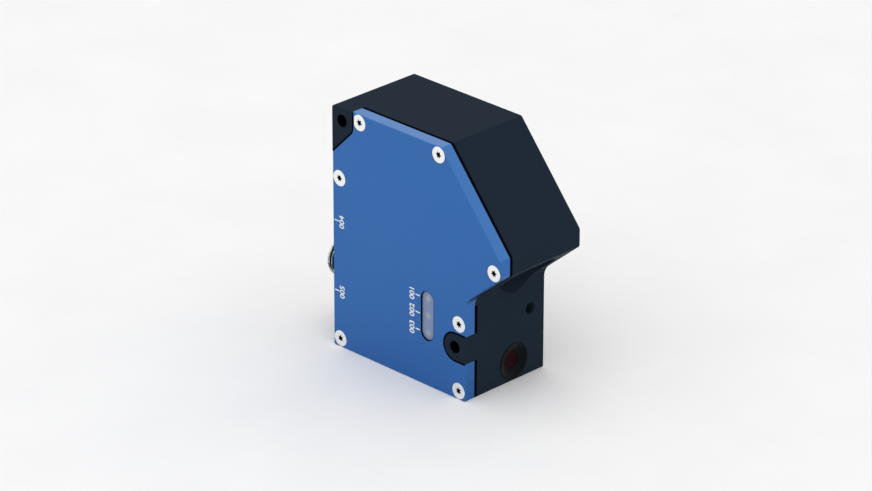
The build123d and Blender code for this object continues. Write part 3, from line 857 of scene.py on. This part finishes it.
def add_plug_b(nickel, gold):
    """Plug B: a plain collar with an inner thread, and four sleeve contacts.

    The inner thread's radius grows by depth * wave(along / pitch + turns round the axis).
    """
    start = plug_start("plug_b_seal")
    shell_low, shell_high = corners_of("plug_b_shell")
    tip = start[0] - shell_low[0]
    neck_end = start[0] - shell_high[0]
    thread_end = tip - SOCKET_THREAD_LENGTH
    rows = np.arange(tip - THREAD_END, thread_end + THREAD_END, -THREAD_PITCH / 12)
    thread = np.stack([np.full_like(rows, SOCKET_THREAD_RADIUS), rows], axis=1)
    below = rounded(
        [
            (SHELL_BORE, neck_end),
            (NECK_OUTER, neck_end),
            (NECK_OUTER, SEAL_THICKNESS),
            (COLLAR_RADIUS, SEAL_THICKNESS, COLLAR_FOOT_ROUNDING),
            (COLLAR_RADIUS, tip, SOCKET_COLLAR_ROUNDING),
            (SOCKET_THREAD_RADIUS + SOCKET_THREAD_DEPTH, tip, 0.1),
            (SOCKET_THREAD_RADIUS, tip - 0.45),
        ]
    )
    above = np.array(
        [
            (SOCKET_THREAD_RADIUS, thread_end + 0.3),
            (SOCKET_THREAD_RADIUS, thread_end),
            (SHELL_BORE, thread_end),
        ]
    )
    profile = np.vstack([below, thread, above])

    def swell(t, radius, along):
        cut = np.abs(radius - SOCKET_THREAD_RADIUS) < TOUCH
        fade = np.clip((along - thread_end - 0.4) / 0.6, 0, 1)
        wave = thread_wave(along / THREAD_PITCH + t / TURN) * fade
        return np.where(cut, SOCKET_THREAD_RADIUS + SOCKET_THREAD_DEPTH * wave, radius)

    shell = turned("shell", profile, start, (-1, 0, 0), columns=120, closed=True, swell=swell)
    add_piece("plug_b_threaded_shell", [shell], nickel, ["plug_b_shell"])

    insert_low, _ = corners_of("plug_b_insert")
    _, contact_high = corners_of("plug_b_contacts")
    face = start[0] - insert_low[0] - CONTACT_SETBACK
    tail = start[0] - contact_high[0]
    sleeve_profile = rounded(
        [
            (0, tail),
            (CONTACT_RADIUS, tail),
            (CONTACT_RADIUS, face, CONTACT_EDGE),
            (CONTACT_BORE, face, CONTACT_EDGE),
            (CONTACT_BORE, face - CONTACT_BORE_DEPTH),
            (0, face - CONTACT_BORE_DEPTH - 0.2),
        ]
    )
    sleeves = []
    for i in range(CONTACT_COUNT):
        angle = TURN * (i + 0.5) / CONTACT_COUNT
        place = start + np.array([0, math.cos(angle), -math.sin(angle)]) * CONTACT_CIRCLE
        sleeves.append(turned("sleeve", sleeve_profile, place, (-1, 0, 0), columns=24))
    add_piece("plug_b_sleeves", sleeves, gold, ["plug_b_contacts"])


def add_emitter_ring(black):
    """The black cone round the beam's exit, with the flat lip that covers the glass's edge."""
    low, high = corners_of("emitter_ring")
    start = np.array([high[0], (low + high)[1] / 2, (low + high)[2] / 2])
    outer = (high - low)[2] / 2
    depth = (high - low)[0]
    profile = rounded(
        [
            (outer, 0, 0.06),
            (outer, -depth),
            (EMITTER_LIP_BORE, -depth),
            (EMITTER_LIP_BORE, -EMITTER_MOUTH_DEPTH, 0.04),
            (EMITTER_BORE, -EMITTER_MOUTH_DEPTH),
            (EMITTER_MOUTH, 0, 0.12),
        ],
        closed=True,
    )
    ring = turned("ring", profile, start, (1, 0, 0), columns=128, closed=True)
    add_piece("emitter_cone", [ring], black, ["emitter_ring"])


def add_receiver_ring(black):
    """The ring that holds the receiver's window in its pocket, with its edges broken."""
    low, high = corners_of("receiver_ring")
    centre = (low + high) / 2
    outer = (high - low)[1] / 2
    axis = np.array([math.cos(VIEW_ANGLE), 0, -math.sin(VIEW_ANGLE)])
    profile = rounded(
        [
            (outer, RING_HALF, 0.1),
            (outer, -RING_HALF),
            (outer - RING_WIDTH, -RING_HALF),
            (outer - RING_WIDTH, RING_HALF, 0.15),
        ],
        closed=True,
    )
    ring = turned("ring", profile, centre, axis, columns=128, closed=True)
    add_piece("receiver_retaining_ring", [ring], black, ["receiver_ring"])


def add_tapped_hole(black):
    """The thread in the front hole, a closed sleeve let into its wall: the inner radius falls by
    the ridge along a helix."""
    foot_front = corners_of("emitter_ring")[1][0]
    start = np.array([foot_front, TAP_Y, TAP_HEIGHT])
    rows = np.arange(-TAP_LEAD_IN, -TAP_DEPTH, -TAP_PITCH / 10)
    inner = np.stack([np.full_like(rows, TAP_RADIUS - TAP_PROUD), rows], axis=1)
    outer = [(TAP_RADIUS + TAP_PROUD, rows[-1]), (TAP_RADIUS + TAP_PROUD, rows[0])]
    profile = np.vstack([inner, outer])

    def swell(t, radius, along):
        ridge = TAP_RIDGE * (1 - thread_wave(along / TAP_PITCH + t / TURN))
        return np.where(radius < TAP_RADIUS, radius - ridge, radius)

    thread = turned("tap", profile, start, (1, 0, 0), columns=48, closed=True, swell=swell)
    add_piece("front_hole_thread", [thread], black)


def slot_surface(name, middle, straight, reach, depth, closed=False):
    """A surface whose every level is a slot outline of its own reach, at its own depth.

    A point is the middle, plus half the straight length up or down by the sign of sin t, plus
    reach * (cos t, sin t).
    """
    columns = 64
    t = (np.arange(columns) + 0.5) / columns * TURN
    reach = np.array(reach, float)[:, None]
    x = middle[0] + reach * np.cos(t)
    z = middle[2] + straight * np.sign(np.sin(t)) + reach * np.sin(t)
    y = np.array(depth, float)[:, None] * np.ones_like(x)
    return surface(name, np.stack([x, y, z], axis=-1), along=closed)


def add_led_window(frosted, rubber):
    """The status window, with the rim of its face rounded over, and a black lining round the
    slot: painted shade for the shadow on the slot's walls."""
    low, high = corners_of("led_window")
    middle = (low + high) / 2
    half_width = (high - low)[0] / 2
    straight = (high - low)[2] / 2 - half_width
    bend = np.linspace(0, math.pi / 2, 6)
    rim = half_width - WINDOW_RIM * (1 - np.cos(bend))
    reach = np.concatenate([[0, half_width], rim, [0]])
    depth = np.concatenate([[high[1]] * 2, low[1] + WINDOW_RIM * (1 - np.sin(bend)), [low[1]]])
    mesh = slot_surface("window", middle, straight, reach, depth)
    add_piece("status_window", [mesh], frosted, ["led_window"])

    # Painted shade: a thin black lining on the slot's walls, which lie in shadow.
    wall = half_width + WINDOW_SHADE_FIT
    inner = wall - WINDOW_SHADE_WIDTH
    top = corners_of("cover_plate")[0][1] + WINDOW_SHADE_SUNK
    bottom = low[1] + WINDOW_RIM
    lining = slot_surface(
        "lining", middle, straight, [inner, wall, wall, inner], [bottom, bottom, top, top], True
    )
    add_piece("window_slot_shade", [lining], rubber)


def merged_copy(node):
    """A CAD node's own surface with its doubles merged and its flat faces joined."""
    merged = bmesh.new()
    merged.from_mesh(frame["nodes"][node].data)
    bmesh.ops.remove_doubles(merged, verts=merged.verts, dist=MERGE * MM)
    bmesh.ops.dissolve_limit(
        merged, angle_limit=math.radians(0.5), verts=merged.verts, edges=merged.edges
    )
    merged.verts.index_update()
    return merged


def rim_edges(merged, plane, reach):
    """Edges on the plane y = plane whose side face runs on to y = reach, both in metres."""
    found = []
    for edge in merged.edges:
        on_plane = all(abs(corner.co.y - plane) < TOUCH * MM for corner in edge.verts)
        if not on_plane or len(edge.link_faces) != 2:
            continue
        side, flat = sorted(edge.link_faces, key=lambda face: abs(face.normal.y))
        spans = any(abs(corner.co.y - reach) < TOUCH * MM for corner in side.verts)
        if spans and abs(side.normal.y) < 0.1 and abs(flat.normal.y) > 0.9:
            found.append((edge, side.normal.copy()))
    return found


def add_eased(merged, name, material, node, edge_mm):
    """A finished copy as a piece, with its edges eased and the shading of its flat faces kept."""
    mesh = bpy.data.meshes.new(name)
    merged.to_mesh(mesh)
    merged.free()
    piece = add_piece(name, [mesh], material, [node])
    eased = piece.modifiers.new("eased_edges", "BEVEL")
    eased.width = edge_mm * MM
    eased.segments = 2
    eased.limit_method = "ANGLE"
    eased.angle_limit = math.radians(30)
    level = piece.modifiers.new("flat_faces", "WEIGHTED_NORMAL")
    level.weight = 100
    level.keep_sharp = True


def joint_strip(rim, width, wraps):
    """A flat strip along rim edges, a hair proud of what it lies on.

    At a corner its points move by the mitre of the side normals there: their sum over one plus
    their product, which is 2 sum / |sum|^2, or the normal itself at an open end. The strip runs
    across the thickness when it wraps the outline, and else along the mitre.
    """
    corners = sorted({corner for edge, _ in rim for corner in edge.verts}, key=lambda v: v.index)
    row = {corner: i for i, corner in enumerate(corners)}
    ends = np.array([[row[edge.verts[0]], row[edge.verts[1]]] for edge, _ in rim])
    normals = np.array([normal for _, normal in rim])
    total = np.zeros((len(corners), 3))
    np.add.at(total, ends[:, 0], normals)
    np.add.at(total, ends[:, 1], normals)
    edges_there = np.bincount(ends.ravel(), minlength=len(corners))[:, None]
    mitre = np.where(edges_there > 1, 2, 1) * total / (total**2).sum(axis=1, keepdims=True)
    base = np.array([corner.co for corner in corners]) / MM
    depth = np.array([0, 1.0, 0])
    if wraps:
        near = base + JOINT_PROUD * mitre
        far = near + width * depth
    else:
        near = base - JOINT_PROUD * depth - NOTCH_JOINT_OVERLAP * mitre
        far = near + width * mitre
    points = np.concatenate([near, far]) * MM
    quads = np.concatenate([ends, ends[:, ::-1] + len(corners)], axis=1)
    mesh = bpy.data.meshes.new("strip")
    mesh.from_pydata(points.tolist(), [], quads.tolist())
    lifted = bmesh.new()
    lifted.from_mesh(mesh)
    bmesh.ops.recalc_face_normals(lifted, faces=lifted.faces)
    outward = Vector(normals[0]) if wraps else Vector(-depth)
    lifted.faces.ensure_lookup_table()
    if lifted.faces[0].normal.dot(outward) < 0:
        bmesh.ops.reverse_faces(lifted, faces=lifted.faces)
    lifted.to_mesh(mesh)
    lifted.free()
    return mesh


def add_housing_and_cover(black, blue, rubber):
    """Finished copies of the housing and the cover, and the black seal between them, widened as painted
    shade.

    The seal lies along the housing's outline behind the cover, and round the corner block and
    the tongue wherever the cover stands next to their walls.
    """
    housing, cover = merged_copy("housing"), merged_copy("cover_plate")
    low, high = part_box("cover_plate")
    outline = rim_edges(housing, high.y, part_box("housing")[1].y)
    plate = BVHTree.FromBMesh(cover)
    notches = []
    for edge, normal in rim_edges(housing, low.y, high.y):
        middle = (edge.verts[0].co + edge.verts[1].co) / 2
        wall = Vector((middle.x, (low.y + high.y) / 2, middle.z))
        if plate.ray_cast(wall, normal, NOTCH_JOINT_WIDTH * MM)[0] is not None:
            notches.append((edge, normal))
    # Partly painted shade: the strips are a real seal, widened to stand for the shadow in the joints.
    strips = [joint_strip(outline, JOINT_WIDTH, True)]
    strips.append(joint_strip(notches, NOTCH_JOINT_WIDTH, False))
    seal = add_piece("joint_seal_and_shade", strips, rubber)
    body_of_seal = seal.modifiers.new("thickness", "SOLIDIFY")
    body_of_seal.thickness = JOINT_THICKNESS * MM
    body_of_seal.offset = -1
    add_eased(housing, "housing_body", black, "housing", HOUSING_EDGE)
    add_eased(cover, "cover", blue, "cover_plate", COVER_EDGE)


def ink_rectangle(x, z, length, width):
    """A thin printed bar on the cover's face, as a flat grid of two by two points."""
    y = corners_of("cover_plate")[0][1] - INK_PROUD
    across, up = length / 2, width / 2
    points = np.array(
        [
            [(x - across, y, z - up), (x + across, y, z - up)],
            [(x - across, y, z + up), (x + across, y, z + up)],
        ]
    )
    bar = surface("bar", points, around=False)
    if bar.polygons[0].normal.y > 0:
        bar.flip_normals()
    return bar


def ink_digits(text, x, z):
    """A printed number that reads upwards, as a mesh with its middle at x, z on the cover."""
    curve = bpy.data.curves.new("digits", "FONT")
    curve.body = text
    curve.size = DIGIT_HEIGHT * MM / FONT_DIGIT_SHARE
    curve.align_x = "CENTER"
    curve.align_y = "CENTER"
    curve.fill_mode = "FRONT"
    curve.offset = DIGIT_BOLD * MM
    holder = bpy.data.objects.new("digits", curve)
    bpy.context.scene.collection.objects.link(holder)
    bpy.context.view_layer.update()
    mesh = bpy.data.meshes.new_from_object(holder)
    bpy.data.objects.remove(holder)
    y = corners_of("cover_plate")[0][1] - INK_PROUD
    stand = Matrix.Rotation(math.pi / 2, 4, "X")
    upwards = Matrix.Rotation(-math.pi / 2, 4, "Y")
    mesh.transform(Matrix.Translation(Vector((x, y, z)) * MM) @ upwards @ stand)
    return mesh


def add_marks(ink):
    """Ticks beside the lamps and level with the plugs, each with its number."""
    back = corners_of("cover_plate")[0][0]
    lamps = [centre_of(f"status_led_{i}") for i in (1, 2, 3)]
    plugs = [centre_of(f"plug_{letter}_seal") for letter in "ba"]
    ticks = [(lamp[0] - TICK_FROM_LAMP, lamp[2]) for lamp in lamps]
    ticks += [(back + TICK_FROM_BACK, plug[2]) for plug in plugs]
    meshes = []
    for number, (x, z) in enumerate(ticks, start=1):
        beside = -1 if number <= len(lamps) else 1
        meshes.append(ink_rectangle(x, z, TICK_LENGTH, TICK_WIDTH))
        text_x = x + beside * (TICK_LENGTH / 2 + DIGIT_GAP + DIGIT_HEIGHT / 2)
        meshes.append(ink_digits(f"{number:03d}", text_x, z))
    marks = add_piece("printed_marks", meshes, ink)
    film = marks.modifiers.new("ink_film", "SOLIDIFY")
    film.thickness = INK_FILM * MM
    film.offset = -1


def dress_cad_nodes(finishes):
    """The material of its slot for every CAD node; add_piece hides the ones that a piece replaces."""
    for row in frame["record"]["subparts"]:
        mesh = frame["nodes"][row["node"]].data
        mesh.materials.clear()
        mesh.materials.append(finishes[row["material_slot"]])


def camera_frame(azimuth, elevation, roll):
    """The camera's right, up and forward directions."""
    forward = np.array(
        [
            -math.sin(azimuth) * math.cos(elevation),
            math.cos(azimuth) * math.cos(elevation),
            -math.sin(elevation),
        ]
    )
    right = np.array([math.cos(azimuth), math.sin(azimuth), 0])
    up = np.cross(right, forward)
    return (
        right * math.cos(roll) + up * math.sin(roll),
        up * math.cos(roll) - right * math.sin(roll),
        forward,
    )


def add_camera():
    """A long lens at the photograph's angle and distance."""
    right, up, forward = camera_frame(
        math.radians(CAMERA_AZIMUTH), math.radians(CAMERA_ELEVATION), math.radians(CAMERA_ROLL)
    )
    place = np.array(CAMERA_TARGET) - CAMERA_DISTANCE * forward
    place = place + CAMERA_RIGHT * right + CAMERA_UP * up
    data = bpy.data.cameras.new("camera")
    data.sensor_width = SENSOR_WIDTH
    data.lens = CAMERA_LENS
    data.clip_start = 0.01
    data.clip_end = 100
    camera = bpy.data.objects.new("camera", data)
    turn = Matrix((right, up, -forward)).transposed().to_4x4()
    camera.matrix_world = Matrix.Translation(Vector(place) * MM) @ turn
    bpy.context.scene.collection.objects.link(camera)
    bpy.context.scene.camera = camera


def add_area_light(name, place, aim, size, power):
    """A square soft light aimed at a point. Places and size are in metres."""
    data = bpy.data.lights.new(name, "AREA")
    data.energy = power
    data.size = size
    light = bpy.data.objects.new(name, data)
    light.location = place
    light.rotation_euler = (Vector(aim) - Vector(place)).to_track_quat("-Z", "Y").to_euler()
    bpy.context.scene.collection.objects.link(light)


def add_studio():
    """A pale floor under a white dome, and one softbox on the cover's side.

    The camera, metal and glass see the dome as plain white, and it lights matte surfaces less.
    """
    world = bpy.data.worlds.new("studio")
    bpy.context.scene.world = world
    world.use_nodes = True
    tree = world.node_tree
    tree.nodes.clear()
    rays = add_node(tree, "ShaderNodeLightPath")
    seen = rays.outputs["Is Camera Ray"]
    for kind in ("Is Glossy Ray", "Is Transmission Ray"):
        either = add_node(tree, "ShaderNodeMath", {"operation": "MAXIMUM"})
        tree.links.new(seen, either.inputs[0])
        tree.links.new(rays.outputs[kind], either.inputs[1])
        seen = either.outputs["Value"]
    dim = add_node(tree, "ShaderNodeBackground", {"Color": (1, 1, 1, 1), "Strength": DOME})
    white = add_node(tree, "ShaderNodeBackground", {"Color": (1, 1, 1, 1), "Strength": 1.0})
    mixed = add_node(tree, "ShaderNodeMixShader", links={"Fac": seen})
    tree.links.new(dim.outputs["Background"], mixed.inputs[1])
    tree.links.new(white.outputs["Background"], mixed.inputs[2])
    add_node(tree, "ShaderNodeOutputWorld", links={"Surface": mixed.outputs["Shader"]})

    near, far = -FLOOR_HALF, FLOOR_HALF
    points = np.array([[(near, near, 0), (far, near, 0)], [(near, far, 0), (far, far, 0)]])
    mesh = surface("floor", points, around=False)
    floor = bpy.data.objects.new("floor", mesh)
    bpy.context.scene.collection.objects.link(floor)
    material, tree, shader, place = new_material("matte_white_floor", Roughness=0.9)
    tree.links.new(mottled(tree, place, FLOOR_PATCH, "#f4f4f5", "#f8f8f8"), shader.inputs["Base Color"])
    floor.data.materials.append(material)

    add_area_light("key", KEY_PLACE, KEY_AIM, KEY_SIZE, KEY_WATTS)


black = black_anodised()
blue = blue_anodised()
nickel = nickel_plate()
frosted = frosted_window()
gloss_black = optics_black()
gold = plain_metal("gold_plate", "#c9973a", "#dcae52", 0.2, 0.3)
finishes = {
    "black_anodised": black,
    "blue_anodised": blue,
    "seal_rubber": seal_rubber(),
    "bright_steel": bright_steel(),
    "frosted_window": frosted,
    "circuit_board": solder_mask(),
    "chip_black": moulded_plastic("moulded_epoxy", "#17171a", "#1f1f22", 0.55),
    "ferrite_grey": moulded_plastic("sintered_ferrite", "#3a3a3e", "#47474b", 0.6),
    "optics_black": gloss_black,
    "red_filter_glass": red_filter(),
    "brass": plain_metal("turned_brass", "#a8843e", "#bd9850", 0.25, 0.35),
    "clear_glass": lens_glass(),
    "flex_film": moulded_plastic("amber_polyimide", "#a5631c", "#b87226", 0.3),
    "socket_plastic": moulded_plastic("natural_nylon", "#c9c3b2", "#d6d1c2", 0.5),
    "sensor_ceramic": moulded_plastic("sensor_package", "#3a343c", "#463f48", 0.25),
    "nickel_brass": nickel,
    "plug_plastic": moulded_plastic("black_polyamide", "#131315", "#1c1c1f", 0.5),
    "gold_contacts": gold,
    "lamp_epoxy": moulded_plastic("clear_lamp_epoxy", "#c4c6b8", "#d3d5c8", 0.2),
}

dress_cad_nodes(finishes)
add_housing_and_cover(black, blue, finishes["seal_rubber"])
add_cover_screws(screw_steel())
add_plug_a(nickel_thread(), gold)
add_plug_b(nickel, gold)
add_emitter_ring(gloss_black)
add_receiver_ring(gloss_black)
add_tapped_hole(black)
add_led_window(frosted, finishes["seal_rubber"])
add_marks(white_ink())
add_camera()
add_studio()
bpy.context.scene.view_settings.view_transform = "Standard"
